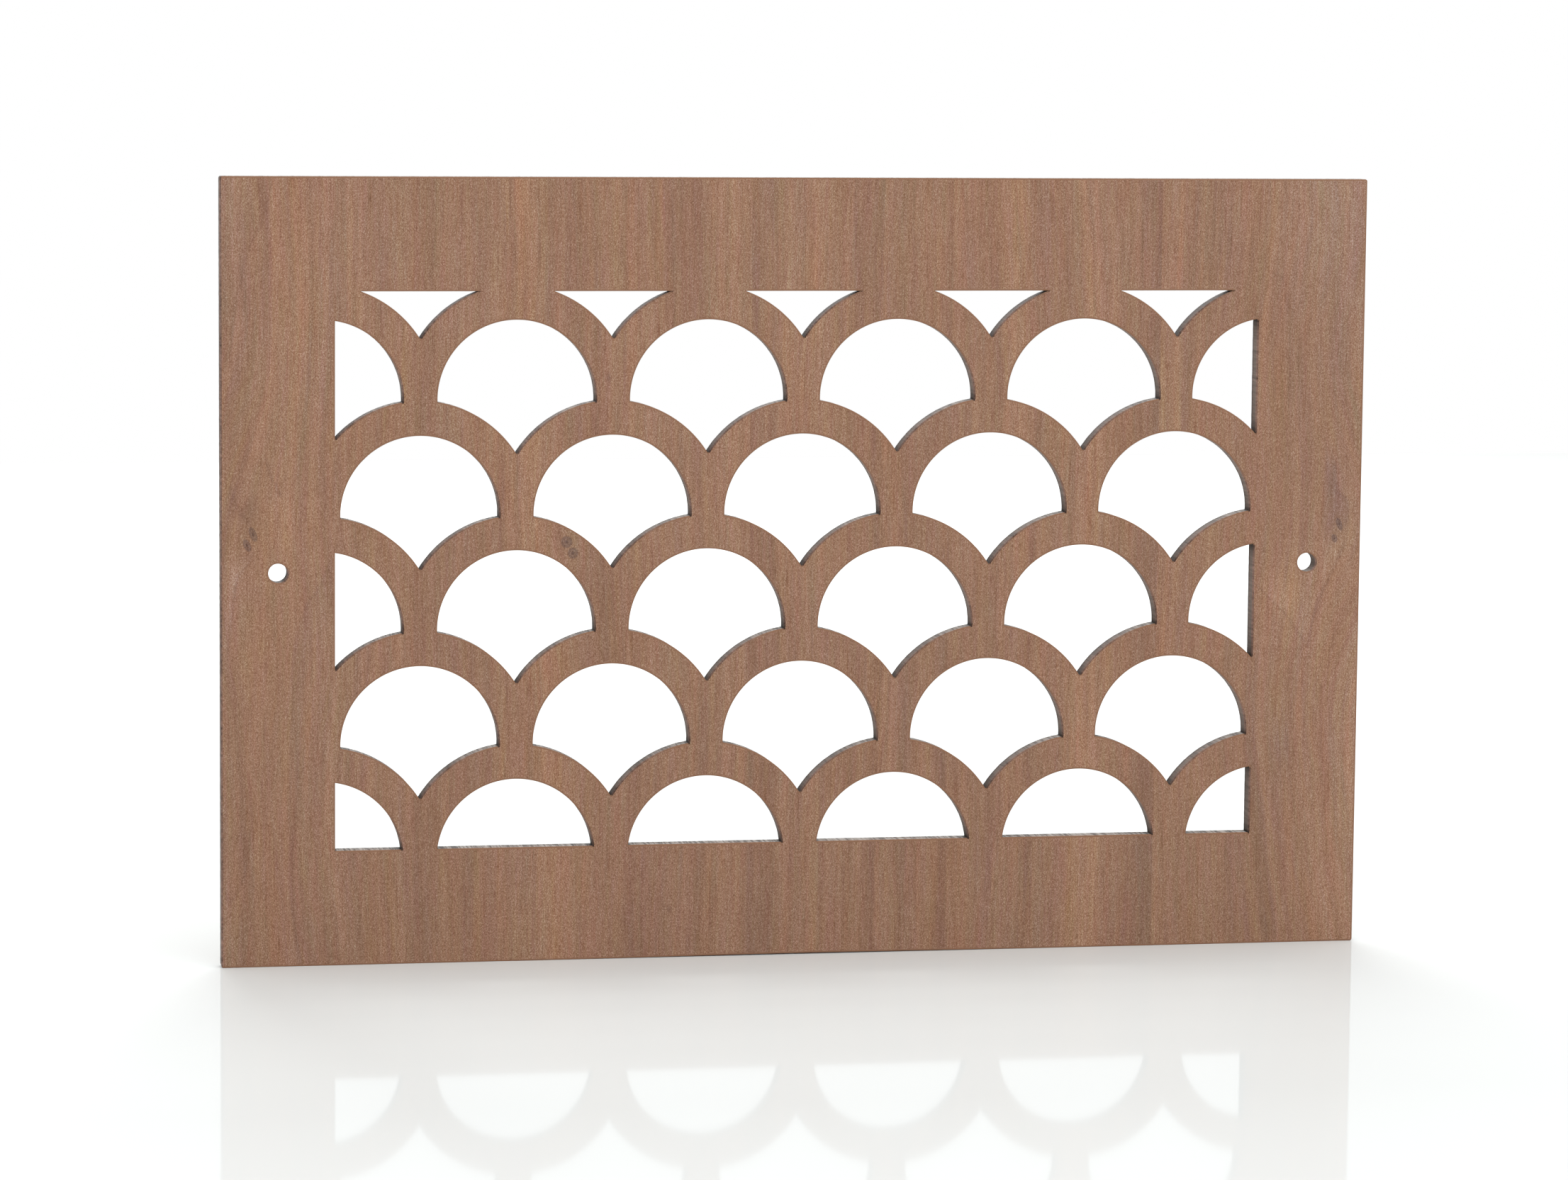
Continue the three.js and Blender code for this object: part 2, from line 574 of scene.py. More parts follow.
    veins: tuple[Vein, ...] = (
        Vein(
            ((-153.0, 55.0), (-151.3, 69.7), (-148.8, 83.0), (-143.8, 94.7), (-141.3, 106.0)),
            line=-4.0, fade=-7.0, tone=-6.0,
        ),
        Vein(((-148.5, 33.0), (-147.5, 52.0), (-142.0, 68.0)), -2.0, 5.0, 3.5, -1.5),
        Vein(((-139.7, 20.6), (-140.5, 23.0), (-142.3, 26.0), (-143.7, 31.0)), -11.0, softness=1.0),
        Vein(((-139.9, 20.6), (-139.4, 23.0), (-138.6, 26.5)), -7.0, softness=1.0),
        Vein(((-148.4, 14.0), (-150.7, 17.3), (-152.5, 23.0)), -7.0, -3.0, -3.0, half_width=0.7),
        Vein(((-153.5, -20.0), (-152.3, -8.3), (-151.3, -2.0), (-148.7, 2.5)), -9.0, -3.2, 8.0, -4.0),
        Vein(((-148.7, 2.5), (-147.0, 6.0)), -5.0, -3.0, 3.0, -4.0, softness=2.0),
        Vein(
            (
                (-134.5, -104.0), (-137.2, -79.0), (-135.5, -54.0), (-136.8, -29.0), (-134.5, -13.0),
                (-129.5, -3.0), (-125.5, 6.0),
            ),
            line=-6.0, fade=5.0, tone=-3.5, warmth=-1.0, half_width=0.55, softness=10.0,
        ),
        Vein(((-130.8, -98.0), (-132.6, -70.0), (-131.4, -40.0), (-131.8, -20.0)), -4.0, softness=14.0),
        Vein(((-153.2, -87.5), (-149.2, -79.0), (-148.0, -68.0)), -7.0, -4.0, -2.5, -1.0, softness=2.0),
        Vein(((-153.2, -87.5), (-154.6, -83.0), (-155.0, -76.0)), -7.0, softness=2.0),
        Vein(((-148.3, -40.5), (-147.8, -34.0), (-148.5, -26.0)), -6.0, softness=4.0),
        Vein(
            ((141.2, -22.5), (143.7, -12.0), (147.8, -2.0), (151.5, 6.4)),
            line=-11.0, fade=-12.0, tone=6.5, warmth=-2.0, half_width=0.6, softness=2.0,
        ),
        Vein(
            ((141.0, -22.5), (134.5, -13.6), (129.5, -8.6), (126.0, -5.3)),
            line=-8.0, fade=7.0, tone=4.0, warmth=-2.0, softness=1.6,
        ),
        Vein(((151.5, 10.0), (152.2, 16.4), (149.0, 20.0), (148.2, 28.0)), -8.0, -3.0, -3.0, -3.0, 0.8),
        Vein(((134.8, 44.0), (134.2, 66.0), (133.0, 75.0), (130.3, 79.2)), -6.0, 3.0, -2.0, 0.0, 0.5, 2.0),
        Vein(((125.6, 50.0), (126.2, 66.0), (127.8, 75.0), (130.3, 79.2)), -6.0, -3.0, -2.0, 0.0, 0.5, 2.0),
        Vein(((-28.0, -47.0), (-27.4, -40.0), (-26.0, -35.0)), -5.0, softness=2.0),
        Vein(((-24.0, -47.0), (-24.6, -40.0), (-26.0, -35.0)), -5.0, softness=2.0),
    )
    knots: tuple[PinKnot, ...] = (
        PinKnot(-147.0, 10.7, 0.95, 1.9, 0.3),
        PinKnot(-148.6, 7.8, 0.95, 1.6, 0.3),
        PinKnot(-63.7, 7.9, 1.5, 1.55, 0.0),
        PinKnot(-62.0, 4.9, 1.35, 1.45, 0.0),
        PinKnot(149.6, 10.7, 0.8, 1.7, 0.3),
        PinKnot(148.3, 6.8, 0.8, 1.1, 0.2),
    )
    swirls: tuple[Swirl, ...] = (
        Swirl(-149.0, 8.5, 8.0, 0.26),
        Swirl(-63.0, 6.5, 3.2, 0.35),
        Swirl(150.0, 8.0, 7.0, 0.30),
    )

    def drawn(self) -> Material:
        """Draws the veneer.

        Returns:
            The material.
        """
        sketch = NodeSketch("walnut_veneer")
        x, _, z = sketch.millimetres()
        figure = Figure(sketch, x, z, x)
        self._bend(figure)
        fibre = figure.flowing(self.fibre)
        self._lay_out(figure, fibre)
        figure.mark(fibre, self.fibre.strength)
        figure.mark(figure.flowing(self.hair), self.hair.strength)
        nap = figure.straight(self.nap)
        grit = figure.straight(self.grit)
        pores = self._pores(figure)
        grain = sketch.plus(sketch.times(pores, self.pore_tone), nap, self.nap.strength)
        grain = sketch.plus(grain, grit, self.grit.strength)
        figure.mark(grain, 1.0, self.grain_warmth)
        figure.mark(figure.flowing(self.tint), 0.0, self.tint.strength)
        cast = sketch.times(figure.flowing(self.cast), self.cast.strength)
        for knot in self.knots:
            knot.draw(figure)
        gains = []
        for light, warm, tinted in zip(self.tone_gains, self.warmth_gains, self.cast_gains):
            exponent = sketch.plus(sketch.times(figure.tone, light), figure.warmth, warm)
            gains.append(sketch.math("EXPONENT", sketch.plus(exponent, cast, tinted)))
        height = sketch.plus(sketch.times(pores, -1.0), grit, self.relief_grit)
        return sketch.finish(
            Base_Color=sketch.shaded(self.colour, tuple(gains)),
            Roughness=sketch.plus(self.roughness, grit, self.roughness_grit),
            Specular_IOR_Level=self.specular,
            Normal=sketch.raised(height, self.relief, self.relief_strength),
        )

    def _bend(self, figure: Figure) -> None:
        """Bends the grain of the figure, so that it wanders and flows round the knots."""
        sketch = figure.sketch
        side = sketch.math("ABSOLUTE", figure.x)
        border = sketch.plus(self.border_from, side, self.border_ramp, clamp=True)
        reach = sketch.plus(self.wander.strength, border, self.border_wander)
        wander = figure.straight(self.wander)
        shiver = figure.straight(self.shiver)
        figure.bent = sketch.plus(sketch.plus(figure.x, wander, reach), shiver, self.shiver.strength)
        for swirl in self.swirls:
            swirl.bend(figure)

    def _lay_out(self, figure: Figure, fibre: object) -> None:
        """Lays out the drift, the bands, the patches and the arches, feathered by the fine streaks."""
        sketch = figure.sketch
        figure.mark(figure.flowing(self.drift), self.drift.strength)
        figure.mark(figure.flowing(self.broad_tint), 0.0, self.broad_tint.strength)
        feathered = sketch.plus(figure.bent, fibre, self.band_feather)
        for band in self.bands:
            band.draw(figure, feathered)
        for patch in self.patches:
            patch.draw(figure)
        feathered = sketch.plus(figure.x, fibre, self.vein_feather)
        for vein in self.veins:
            vein.draw(figure, feathered)

    def _pores(self, figure: Figure) -> NodeSocket:
        """Gives short dark dashes along the grain, and fewer longer ones, from 0 to 1."""
        sketch = figure.sketch
        short = sketch.math("SUBTRACT", figure.straight(self.short_pores), self.short_pores_from)
        long = sketch.math("SUBTRACT", figure.straight(self.long_pores), self.long_pores_from)
        short_dashes = sketch.times(short, self.short_pores.strength, clamp=True)
        long_dashes = sketch.times(long, self.long_pores.strength, clamp=True)
        return sketch.math("ADD", short_dashes, long_dashes)


@dataclass(frozen=True)
class CutEdgeFinish:
    """The scorched wall of a cut through the board: veneer at the show face, then the core.

    It reads two attributes of the mesh: which way a wall faces, and how near it is to a corner. By the
    first it paints light and shade: a painted shade on the arris of the edges that face the upper left,
    walls painted darker the more they face up, and a striped painted highlight where they face straight
    up. By the second it darkens the cut near corners, part soot and part painted shade.
    """

    thickness: float
    # Painted shade: the arris of the edges that face this way, to the upper left, is painted darker
    drift: Triple = (-0.95, 0.0, 0.30)
    unshaded_arris_colour: Triple = (0.255, 0.137, 0.085)
    # The veneer layer of every wall, and also the painted shade on the arris of the edges that face the
    # upper left
    veneer_edge_and_shade_colour: Triple = (0.206, 0.127, 0.101)
    core_colour: Triple = (0.150, 0.114, 0.096)
    charred_colour: Triple = (0.070, 0.054, 0.048)
    # Painted highlight: a striped lighter grey on the walls that face straight up
    top_highlight_colour: Triple = (0.30, 0.27, 0.245)
    roughness: float = 0.6
    roughness_marks: float = 0.4
    specular: float = 0.02
    relief: float = 0.06 * MM
    relief_strength: float = 0.7
    flare: GrainLayer = GrainLayer((3.0, 8.0, 3.0), 0.10, 2.0, 0.6, 2.0)
    marks: GrainLayer = GrainLayer((0.8, 14.0, 0.8), 2.2, 2.0, 0.8, 4.0)
    soot: GrainLayer = GrainLayer((7.0, 12.0, 7.0), 0.9, 2.0, 0.6, 6.0)
    gain_on_face: float = 0.87
    gain_on_wall: float = 0.35
    # Painted shade: the walls are darker the more they face up
    shade_painted_facing_up: float = -0.47
    # Darker near corners: part soot, part painted shade
    gain_in_corner: float = -0.75

    def drawn(self) -> Material:
        """Draws the cut edge.

        Returns:
            The material.
        """
        sketch = NodeSketch("scorched_cut_edge")
        x, y, z = sketch.millimetres()
        depth = sketch.plus(1.0, y, MM / self.thickness)
        flare = sketch.stretched(self.flare, x, y, z)
        layers = sketch.ramp(
            sketch.plus(depth, flare, self.flare.strength),
            [
                (0.0, self.veneer_edge_and_shade_colour),
                (0.10, self.veneer_edge_and_shade_colour),
                (0.14, self.core_colour),
                (0.62, self.core_colour),
                (0.92, self.charred_colour),
                (1.0, self.charred_colour),
            ],
        )
        inward = sketch.add("ShaderNodeAttribute", attribute_name="cut_inward").outputs["Vector"]
        split = sketch.add("ShaderNodeSeparateXYZ")
        sketch.feed(split.inputs[0], inward)
        up = sketch.times(split.outputs["Z"], -1.0)
        marks = sketch.stretched(self.marks, x, y, z)
        soot = sketch.stretched(self.soot, x, y, z)
        gain = sketch.plus(self.gain_on_face, soot, self.soot.strength)
        gain = sketch.plus(gain, marks, self.marks.strength)
        # Painted light and shade: the strip on the face gets one gain everywhere, and the wall behind it is
        # painted lighter the more it faces down and darker the more it faces up
        behind_face = sketch.times(depth, 60.0, clamp=True)
        gain = sketch.plus(gain, behind_face, sketch.plus(self.gain_on_wall, up, self.shade_painted_facing_up))
        # Part soot, part painted shade: the cut is darker near the corners of the openings
        corner = sketch.add("ShaderNodeAttribute", attribute_name="corner_soot_and_shade").outputs["Fac"]
        gain = sketch.times(gain, sketch.plus(1.0, corner, self.gain_in_corner))
        colour = sketch.shaded(layers, (gain, gain, gain))
        # Painted highlight: the walls that face straight up get a striped lighter grey
        level = sketch.plus(-5.0, up, 6.0, clamp=True)
        stripes = sketch.plus(0.4, marks, 5.0, clamp=True)
        colour = sketch.blended(sketch.times(level, stripes), colour, self.top_highlight_colour)
        # Painted shade: the arris keeps the veneer's colour except on the edges that face the upper left
        colour = sketch.blended(self._unshaded_share(sketch, inward, depth), colour, self.unshaded_arris_colour)
        return sketch.finish(
            Base_Color=colour,
            Roughness=sketch.plus(self.roughness, marks, self.roughness_marks),
            Specular_IOR_Level=self.specular,
            Normal=sketch.raised(marks, self.relief, self.relief_strength),
        )

    def _unshaded_share(self, sketch: NodeSketch, inward: object, depth: object) -> NodeSocket:
        """Gives where the arris keeps the colour of the veneer: everywhere but the painted shade on the
        edges that face the upper left.
        """
        unshaded_side = sketch.add("ShaderNodeVectorMath", operation="DOT_PRODUCT")
        sketch.feed(unshaded_side.inputs[0], inward)
        sketch.feed(unshaded_side.inputs[1], self.drift)
        away = sketch.plus(2.6, unshaded_side.outputs["Value"], 3.0, clamp=True)
        near_face = sketch.plus(2.4, depth, -60.0, clamp=True)
        return sketch.times(away, near_face)


@dataclass(frozen=True)
class BackingFinish:
    """A plain backing veneer, sanded and left uncoated."""

    colour: Triple = (0.235, 0.145, 0.094)
    roughness: float = 0.78
    roughness_grit: float = 0.2
    specular: float = 0.3
    relief: float = 0.04 * MM
    relief_strength: float = 0.6
    broad: GrainLayer = GrainLayer((22.0, 1.0, 160.0), 0.55, 3.0, 0.65, 41.0)
    fibre: GrainLayer = GrainLayer((1.8, 1.0, 60.0), 0.50, 4.0, 0.8, 43.0)
    grit: GrainLayer = GrainLayer((0.5, 1.0, 1.6), 0.22, 2.0, 0.8, 47.0)

    def drawn(self) -> Material:
        """Draws the backing.

        Returns:
            The material.
        """
        sketch = NodeSketch("backing_veneer")
        x, _, z = sketch.millimetres()
        broad = sketch.stretched(self.broad, x, 0.0, z)
        fibre = sketch.stretched(self.fibre, x, 0.0, z)
        grit = sketch.stretched(self.grit, x, 0.0, z)
        gain = sketch.plus(1.0, broad, self.broad.strength)
        gain = sketch.plus(gain, fibre, self.fibre.strength)
        gain = sketch.plus(gain, grit, self.grit.strength)
        return sketch.finish(
            Base_Color=sketch.shaded(self.colour, (gain, gain, gain)),
            Roughness=sketch.plus(self.roughness, grit, self.roughness_grit),
            Specular_IOR_Level=self.specular,
            Normal=sketch.raised(grit, self.relief, self.relief_strength),
        )


@dataclass(frozen=True)
class ScaleLattice:
    """The fish scales: a disc for each opening, and a band of even width round it. Sizes are in metres."""

    opening_radius: float = 21.1 * MM
    band_width: float = 9.25 * MM
    row_pitch: float = 30.65 * MM
    narrowest_opening: float = 4.0 * MM

    @property
    def scale_radius(self) -> float:
        """The outer radius of a scale's band."""
        return self.opening_radius + self.band_width

    @property
    def column_pitch(self) -> float:
        """The distance between the middles of two openings in a row."""
        return 2 * self.opening_radius + self.band_width

    def middles(self, reach_x: float, reach_z: float) -> list[tuple[float, float]]:
        """Lists the middles of the discs, row by row.

        Args:
            reach_x: half the width to cover.
            reach_z: half the height to cover.

        Returns:
            The x and z of each middle.
        """
        rows = math.ceil(reach_z / self.row_pitch)
        columns = math.ceil(reach_x / self.column_pitch)
        return [
            ((column + 0.5 * (row % 2)) * self.column_pitch, (row + 0.5) * self.row_pitch)
            for row in range(-rows, rows)
            for column in range(-columns, columns + 1)
        ]


@dataclass
class VentPanel:
    """The whole register: one board with its openings and screw holes. Sizes are in metres."""

    low: Vector
    high: Vector
    lattice: ScaleLattice = ScaleLattice()
    side_border: float = 30.175 * MM
    top_border: float = 30.15 * MM
    bottom_border: float = 30.8 * MM
    corner_radius: float = 0.6 * MM
    screw_hole_radius: float = 2.55 * MM
    veneer_thickness: float = 0.45 * MM
    arris: float = 0.12 * MM
    # The strip round each outline that carries the cut edge's finish, with its painted shade on the upper
    # left edges
    arris_strip_width: float = 0.42 * MM
    # How far from a corner the cut is darkened, part soot and part painted shade
    corner_dark_reach: float = 1.9 * MM
    outline_step: float = 0.5 * MM
    glue_line_setback: float = 0.02 * MM
    marks_at_face: float = 0.015 * MM
    marks_at_back: float = 0.07 * MM
    mark_pitch: float = 1.1 * MM
    sharp_corner: float = math.radians(30)
    bow_height: float = 0.28 * MM
    bow_reach: float = 75.0 * MM
    crisp_corner: float = math.radians(28)

    def __post_init__(self) -> None:
        """Works out the field of openings."""
        self.face_y = self.low.y
        self.back_y = self.high.y
        self.field_low = Vector((self.low.x + self.side_border, 0.0, self.low.z + self.bottom_border))
        self.field_high = Vector((self.high.x - self.side_border, 0.0, self.high.z - self.top_border))

    def built(self) -> Object:
        """Builds and dresses the panel.

        Returns:
            The finished object.
        """
        mesh = bmesh.new()
        self._draw_outlines(mesh)
        self._fill_face(mesh)
        rim = self._cut_walls(mesh)
        self._close_back(mesh, rim)
        self._bow_bottom_edge(mesh)
        self._set_shading(mesh)
        data = bpy.data.meshes.new("vent_panel_detailed")
        mesh.to_mesh(data)
        mesh.free()
        panel = bpy.data.objects.new("vent_panel_detailed", data)
        bpy.context.scene.collection.objects.link(panel)
        # The finishes come in the order of Surface
        for finish in (VeneerFinish(), CutEdgeFinish(self.back_y - self.face_y), BackingFinish()):
            data.materials.append(finish.drawn())
        return panel

    def _draw_outlines(self, mesh: BMesh) -> None:
        """Draws the edge of the board, of each opening and of both screw holes, on the show face."""
        self._draw_board_edge(mesh)
        reach_x = (self.high.x - self.low.x) / 2
        reach_z = (self.high.z - self.low.z) / 2
        for x, z in self.lattice.middles(reach_x, reach_z):
            self._draw_opening(mesh, x, z)
        hole_x = (self.field_high.x + self.high.x) / 2
        hole_z = (self.field_low.z + self.field_high.z) / 2
        for side in (-1, 1):
            middle = Vector((side * hole_x, self.face_y, hole_z))
            start = mesh.verts.new(middle + Vector((self.screw_hole_radius, 0.0, 0.0)))
            self._sweep(mesh, start, middle, math.tau, closed=True)
        long_edges = [e for e in mesh.edges if e.calc_length() > 1.5 * self.outline_step]
        for edge in long_edges:
            cuts = round(edge.calc_length() / self.outline_step) - 1
            bmesh.ops.subdivide_edges(mesh, edges=[edge], cuts=cuts)

    def _draw_board_edge(self, mesh: BMesh) -> None:
        """Draws a rectangle with its corners just rounded."""
        inner_x = self.high.x - self.corner_radius
        inner_z = self.high.z - self.corner_radius
        corners = [(inner_x, inner_z), (-inner_x, inner_z), (-inner_x, -inner_z), (inner_x, -inner_z)]
        starts: list[BMVert] = []
        ends: list[BMVert] = []
        for turn, (x, z) in enumerate(corners):
            middle = Vector((x, self.face_y, z))
            angle = turn * math.pi / 2
            towards = Vector((math.cos(angle), 0.0, math.sin(angle)))
            start = mesh.verts.new(middle + self.corner_radius * towards)
            starts.append(start)
            ends.append(self._sweep(mesh, start, middle, math.pi / 2, fewest=4))
        for turn, end in enumerate(ends):
            mesh.edges.new((end, starts[(turn + 1) % len(starts)]))

    def _sweep(
        self,
        mesh: BMesh,
        start: BMVert,
        middle: Vector,
        angle: float,
        fewest: int = 1,
        closed: bool = False,
    ) -> BMVert:
        """Sweeps a vertex round a middle, and leaves an arc of short edges.

        Args:
            mesh: the mesh to draw in.
            start: the vertex that the arc starts from.
            middle: the middle of the arc.
            angle: how far it turns.
            fewest: the smallest number of edges in the arc.
            closed: whether the arc is a whole circle.

        Returns:
            The vertex that the arc ends at.
        """
        length = abs(angle) * (start.co - middle).length
        spun = bmesh.ops.spin(
            mesh,
            geom=[start],
            cent=middle,
            axis=FACE_AXIS,
            angle=angle,
            steps=max(fewest, math.ceil(length / self.outline_step)),
            use_merge=closed,
        )
        return next((item for item in spun["geom_last"] if isinstance(item, BMVert)), start)

    def _draw_opening(self, mesh: BMesh, x: float, z: float) -> None:
        """Draws one opening: its disc, less the two scales that lie over it, clipped by the field.

        Args:
            mesh: the mesh to draw in.
            x: the middle of the disc across the panel.
            z: the middle of the disc up the panel.
        """
        lattice = self.lattice
        shape = bmesh.new()
        half_pitch = lattice.column_pitch / 2
        middle = Vector((x, self.face_y, z))
        left_scale = middle + Vector((-half_pitch, 0.0, -lattice.row_pitch))
        right_scale = middle + Vector((half_pitch, 0.0, -lattice.row_pitch))
        radius = lattice.opening_radius
        apart = math.hypot(half_pitch, lattice.row_pitch)
        swing = math.acos((apart**2 + radius**2 - lattice.scale_radius**2) / (2 * apart * radius))
        corner_angle = swing - math.atan2(lattice.row_pitch, half_pitch)
        corner_reach = Vector((math.cos(corner_angle), 0.0, math.sin(corner_angle))) * radius
        start = shape.verts.new(middle + corner_reach)
        left_corner = self._sweep(shape, start, middle, math.pi - 2 * corner_angle)
        cusp_height = math.sqrt(lattice.scale_radius**2 - half_pitch**2)
        cusp = middle + Vector((0.0, 0.0, cusp_height - lattice.row_pitch))
        towards_cusp = (cusp - left_scale).angle(left_corner.co - left_scale)
        lower = self._sweep(shape, left_corner, left_scale, -towards_cusp)
        self._sweep(shape, lower, right_scale, -towards_cusp)
        bmesh.ops.remove_doubles(shape, verts=shape.verts[:], dist=0.01 * MM)
        bmesh.ops.contextual_create(shape, geom=shape.edges[:])
        for corner, outward in (
            (self.field_low, Vector((-1.0, 0.0, 0.0))),
            (self.field_low, Vector((0.0, 0.0, -1.0))),
            (self.field_high, Vector((1.0, 0.0, 0.0))),
            (self.field_high, Vector((0.0, 0.0, 1.0))),
        ):
            geometry = shape.verts[:] + shape.edges[:] + shape.faces[:]
            bmesh.ops.bisect_plane(shape, geom=geometry, plane_co=corner, plane_no=outward, clear_outer=True)
        if self._is_worth_cutting(shape):
            bmesh.ops.delete(shape, geom=shape.faces[:], context="FACES_ONLY")
            loose = bpy.data.meshes.new("opening_outline")
            shape.to_mesh(loose)
            mesh.from_mesh(loose)
            bpy.data.meshes.remove(loose)
        shape.free()

    def _is_worth_cutting(self, shape: BMesh) -> bool:
        """Whether an opening is large enough to be cut."""
        if not shape.verts:
            return False
        across = [v.co.x for v in shape.verts]
        up = [v.co.z for v in shape.verts]
        return min(max(across) - min(across), max(up) - min(up)) >= self.lattice.narrowest_opening

    def _fill_face(self, mesh: BMesh) -> None:
        """Fills the show face between the outlines."""
        bmesh.ops.triangle_fill(mesh, use_beauty=True, edges=mesh.edges[:], normal=FACE_AXIS)
        for face in mesh.faces:
            face.material_index = Surface.VENEER
            face.smooth = False
            if face.normal.dot(FACE_AXIS) < 0:
                face.normal_flip()

    def _stations(self) -> list[tuple[float, float]]:
        """Gives the profile of a cut wall, from the show face to the back.

        Returns:
            The depth and the set-back into the board of each station.
        """
        depth = self.back_y - self.face_y
        half = 1 - math.sqrt(0.5)
        core_top = self.veneer_thickness + self.glue_line_setback
        core = depth - core_top - self.arris
        return [
            (0.0, self.arris),
            (half * self.arris, half * self.arris),
            (self.arris, 0.0),
            (self.veneer_thickness, 0.0),
            *((core_top + core * step / 3, self.glue_line_setback) for step in range(4)),
            (depth, self.arris),
        ]

    def _cut_walls(self, mesh: BMesh) -> list[BMEdge]:
        """Grows the walls back from every outline, with an eased arris and the marks of the cut.

        Args:
            mesh: the mesh, with its show face filled.

        Returns:
            The edges round the back, still open.
        """
        outline = mesh.verts.layers.float_vector.new("outline")
        inward = mesh.verts.layers.float_vector.new("cut_inward")
        mesh.verts.layers.float.new("corner_soot_and_shade")
        rim = [edge for edge in mesh.edges if edge.is_boundary]
        rim_verts = {vert for edge in rim for vert in edge.verts}
        corners: list[Vector] = []
        for vert in rim_verts:
            sides = [edge for edge in vert.link_edges if edge.is_boundary]
            tangents = [edge.calc_tangent(edge.link_loops[0]) for edge in sides]
            vert[outline] = vert.co
            vert[inward] = sum(tangents, Vector()).normalized()
            if tangents[0].angle(tangents[1]) > self.sharp_corner:
                corners.append(vert.co.copy())
        self._darken_corners(mesh, rim_verts, corners)
        depth = self.back_y - self.face_y
        for y, setback in self._stations():
            before = set(mesh.faces)
            grown = bmesh.ops.extrude_edge_only(mesh, edges=rim)["geom"]
            new_verts = {item for item in grown if isinstance(item, BMVert)}
            for vert in new_verts:
                marks = self._mark_depth(Vector(vert[outline]), y / depth)
                vert.co = Vector(vert[outline]) + Vector(vert[inward]) * (setback + marks)
                vert.co.y = self.face_y + y
            rim = [e for e in mesh.edges if e.verts[0] in new_verts and e.verts[1] in new_verts]
            for face in set(mesh.faces) - before:
                face.material_index = Surface.CUT_EDGE
                face.smooth = True
        # The arris strip on the face takes the cut edge's finish, with its painted shade on the edges that
        # face the upper left
        for vert in rim_verts:
            vert.co += Vector(vert[inward]) * self.arris_strip_width
        mesh.verts.layers.float_vector.remove(mesh.verts.layers.float_vector["outline"])
        return rim

    def _darken_corners(self, mesh: BMesh, verts: set[BMVert], corners: list[Vector]) -> None:
        """Writes on each vertex how near it is to a corner of an opening, where the cut is darker, part soot
        and part painted shade.

        Args:
            mesh: the mesh.
            verts: the vertices round the show face.
            corners: the places of the corners.
        """
        layer = mesh.verts.layers.float["corner_soot_and_shade"]
        tree = kdtree.KDTree(len(corners))
        for number, corner in enumerate(corners):
            tree.insert(corner, number)
        tree.balance()
        for vert in verts:
            _, _, distance = tree.find(vert.co)
            vert[layer] = math.exp(-distance / self.corner_dark_reach)

    def _mark_depth(self, place: Vector, share: float) -> float:
        """Gives how deep the cutting marks are at a point of a wall.

        Args:
            place: the point on the outline.
            share: how far back it is, from 0 at the show face to 1 at the back.

        Returns:
            The depth into the board.
        """
        lag = 0.35 * self.mark_pitch * share**2
        sample = Vector((place.x + lag, 0.15 * share * self.mark_pitch, place.z + lag)) / self.mark_pitch
        wave = 0.5 + 0.5 * noise.noise(sample)
        strength = self.marks_at_face + (self.marks_at_back - self.marks_at_face) * share
        return max(0.0, wave) * strength

    def _close_back(self, mesh: BMesh, rim: list[BMEdge]) -> None:
        """Fills the back and turns all faces outwards.

        Args:
            mesh: the mesh, open at its back.
            rim: the edges round the back.
        """
        filled = bmesh.ops.triangle_fill(mesh, use_beauty=True, edges=rim, normal=-FACE_AXIS)["geom"]
        for face in filled:
            if isinstance(face, BMFace):
                face.material_index = Surface.BACKING
                face.smooth = False
        bmesh.ops.recalc_face_normals(mesh, faces=mesh.faces[:])

    def _bow_bottom_edge(self, mesh: BMesh) -> None:
        """Hollows the bottom edge a little about its middle, so that the board rests near its corners."""
        for vert in mesh.verts:
            if vert.co.z < self.low.z + 5 * self.arris and abs(vert.co.x) < self.bow_reach:
                vert.co.z += self.bow_height * math.cos(math.pi / 2 * vert.co.x / self.bow_reach) ** 2

    def _set_shading(self, mesh: BMesh) -> None:
        """Keeps the upright corners of the cut walls crisp."""
        for edge in mesh.edges:
            if edge.is_manifold and all(face.smooth for face in edge.link_faces):
                edge.smooth = edge.calc_face_angle() < self.crisp_corner


@dataclass(frozen=True)
class SoftLamp:
    """A square lamp: its place and its side in metres, its power in watts and the point that it faces."""

    name: str
    place: Triple
    size: float
    power: float
    aim: Triple = (0.0, 0.0, 0.0)

    def hang(self) -> None:
        """Hangs the lamp."""
        data = bpy.data.lights.new(self.name, "AREA")
        data.shape = "SQUARE"
        data.size = self.size
        data.energy = self.power
        lamp = bpy.data.objects.new(self.name, data)
        lamp.location = self.place
        lamp.rotation_euler = (Vector(self.aim) - Vector(self.place)).to_track_quat("-Z", "Y").to_euler()
        bpy.context.scene.collection.objects.link(lamp)


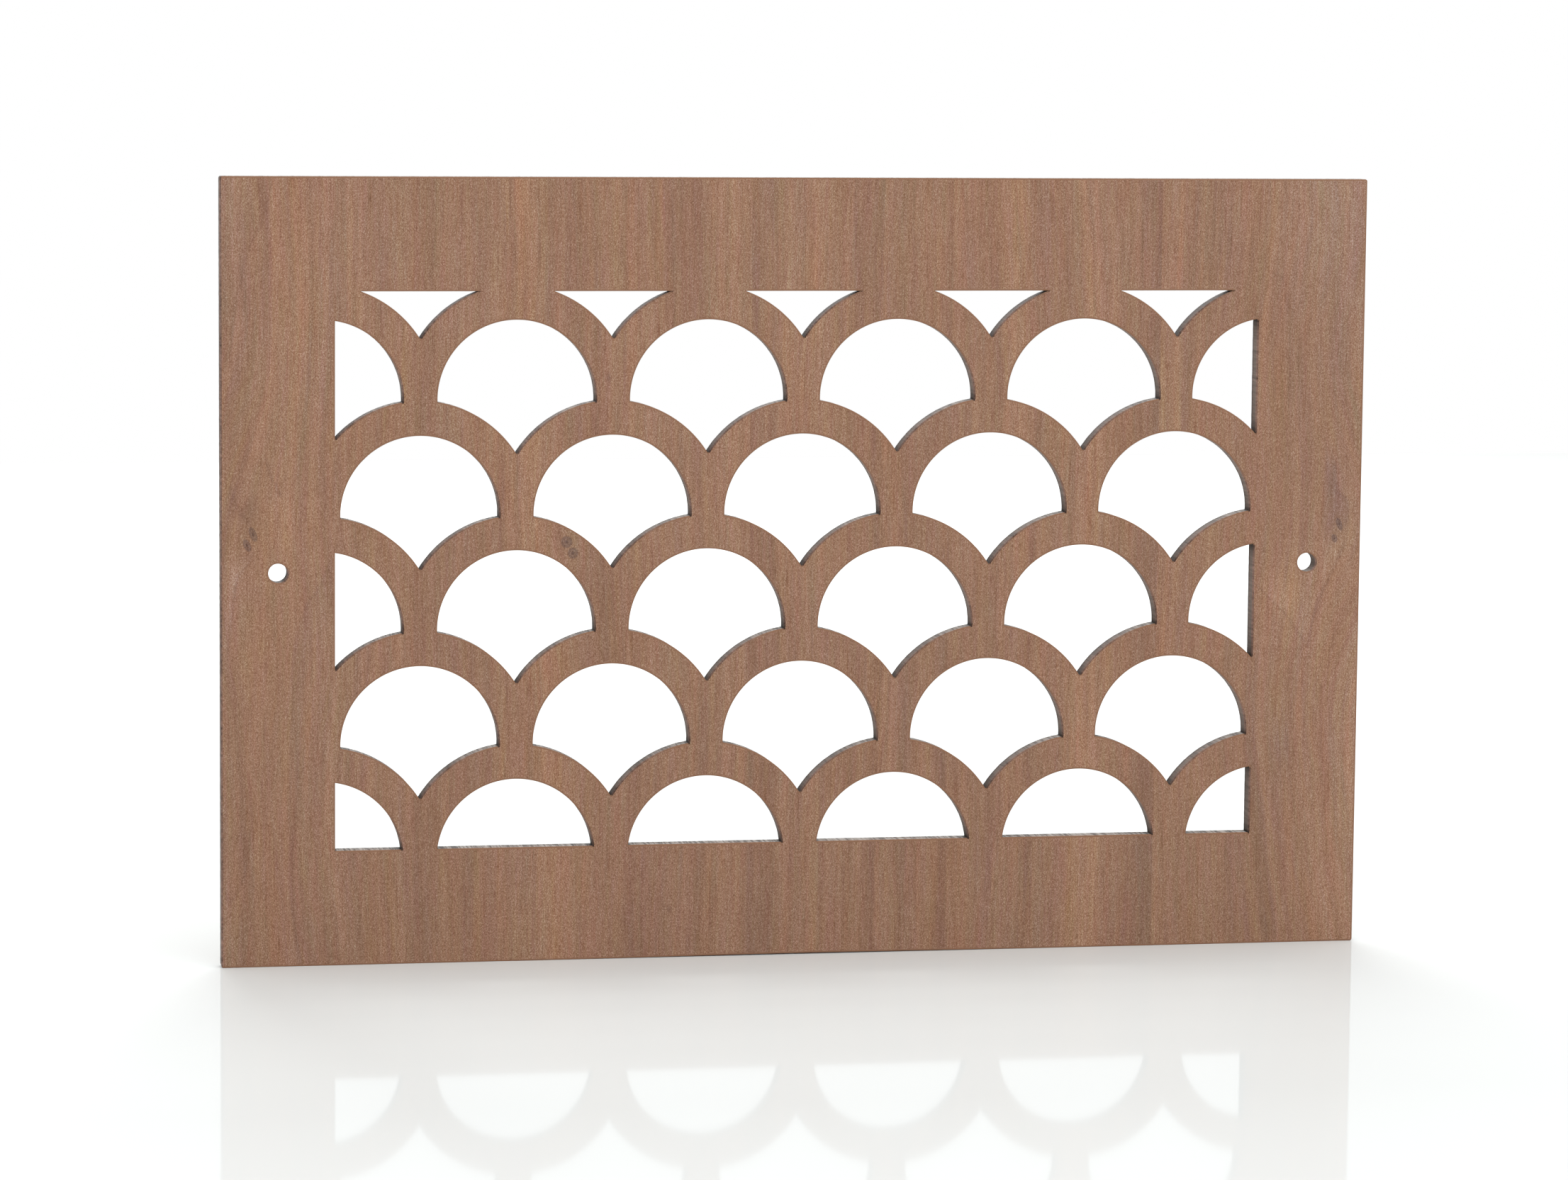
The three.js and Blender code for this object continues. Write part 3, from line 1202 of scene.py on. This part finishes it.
@dataclass
class Studio:
    """The pale floor, the soft lights and the camera. Sizes are in metres, angles in degrees."""

    floor_z: float
    floor_half_size: float = 1.55
    floor_colour: Triple = (0.672, 0.690, 0.683)
    floor_roughness: float = 0.05
    floor_specular: float = 0.03
    lamps: tuple[SoftLamp, ...] = (
        SoftLamp("key_light", (0.2, -1.8, 1.0), 1.2, 4.0),
        SoftLamp("top_light", (0.1, -0.4, 1.6), 1.0, 10.0),
        SoftLamp("back_light", (0.1, 1.3, 0.8), 1.0, 18.0, aim=(0.0, 0.1, 0.0)),
    )
    camera_place: Triple = (-0.270577, -1.405424, 0.150969)
    camera_turns: Triple = (83.731, -0.512, -10.691)
    camera_lens: float = 122.714

    def set_up(self) -> None:
        """Makes the floor, the lights and the camera."""
        self._lay_floor()
        self._light_world()
        for lamp in self.lamps:
            lamp.hang()
        self._set_camera()
        bpy.context.scene.view_settings.view_transform = "Standard"

    def _lay_floor(self) -> None:
        """Lays the glossy white floor under the panel."""
        mesh = bmesh.new()
        bmesh.ops.create_grid(mesh, x_segments=1, y_segments=1, size=self.floor_half_size)
        bmesh.ops.translate(mesh, verts=mesh.verts[:], vec=(0.0, 0.0, self.floor_z))
        data = bpy.data.meshes.new("floor")
        mesh.to_mesh(data)
        mesh.free()
        floor = bpy.data.objects.new("floor", data)
        bpy.context.scene.collection.objects.link(floor)
        sketch = NodeSketch("white_floor")
        white = sketch.finish(
            Base_Color=(*self.floor_colour, 1.0),
            Roughness=self.floor_roughness,
            Specular_IOR_Level=self.floor_specular,
        )
        data.materials.append(white)

    @staticmethod
    def _light_world() -> None:
        """Makes the surroundings an even white."""
        world = bpy.data.worlds.new("white_studio")
        world.use_nodes = True
        background = world.node_tree.nodes["Background"]
        background.inputs["Color"].default_value = (1.0, 1.0, 1.0, 1.0)
        bpy.context.scene.world = world

    def _set_camera(self) -> None:
        """Sets the camera at the photograph's viewing angle."""
        data = bpy.data.cameras.new("camera")
        data.lens = self.camera_lens
        camera = bpy.data.objects.new("camera", data)
        camera.location = self.camera_place
        camera.rotation_euler = Euler([math.radians(turn) for turn in self.camera_turns], "XYZ")
        bpy.context.scene.collection.objects.link(camera)
        bpy.context.scene.camera = camera


def main() -> None:
    """Builds the studio and the panel."""
    low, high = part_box("vent_panel")
    Studio(floor_z=low.z).set_up()
    panel = VentPanel(low, high).built()
    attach(panel, "root")
    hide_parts("vent_panel")
    log.info("%s has %d faces", panel.name, len(panel.data.polygons))


if __name__ == "__main__":
    main()
